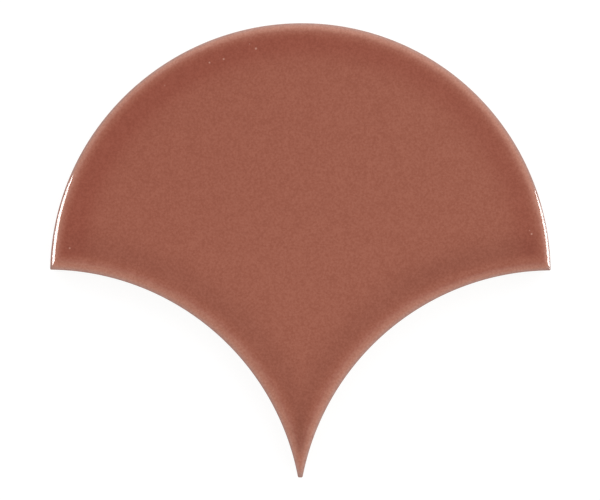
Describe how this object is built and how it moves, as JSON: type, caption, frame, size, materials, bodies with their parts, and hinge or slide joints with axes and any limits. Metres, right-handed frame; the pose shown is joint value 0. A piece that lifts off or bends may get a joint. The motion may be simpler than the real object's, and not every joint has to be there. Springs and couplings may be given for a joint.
{
  "type": "fish scale tile",
  "caption": "Glazed ceramic fish scale wall tile: a round head, hollow flanks and a narrow blunt tail that nest with its neighbours, with a softly rolled glossy edge and a grooved back",
  "frame": {"origin": "middle of the tile's box, on the flat back that is bedded in adhesive", "axes": "+Z out of the glazed face, +Y towards the crown of the round head, X across the tile, which is the same on both sides of the YZ plane"},
  "size_m": [0.12, 0.1089, 0.009],
  "materials": {
    "glazed_ceramic": "gloss"
  },
  "bodies": {
    "root": {"fish_scale_tile": "glazed_ceramic"}
  },
  "joints": []
}
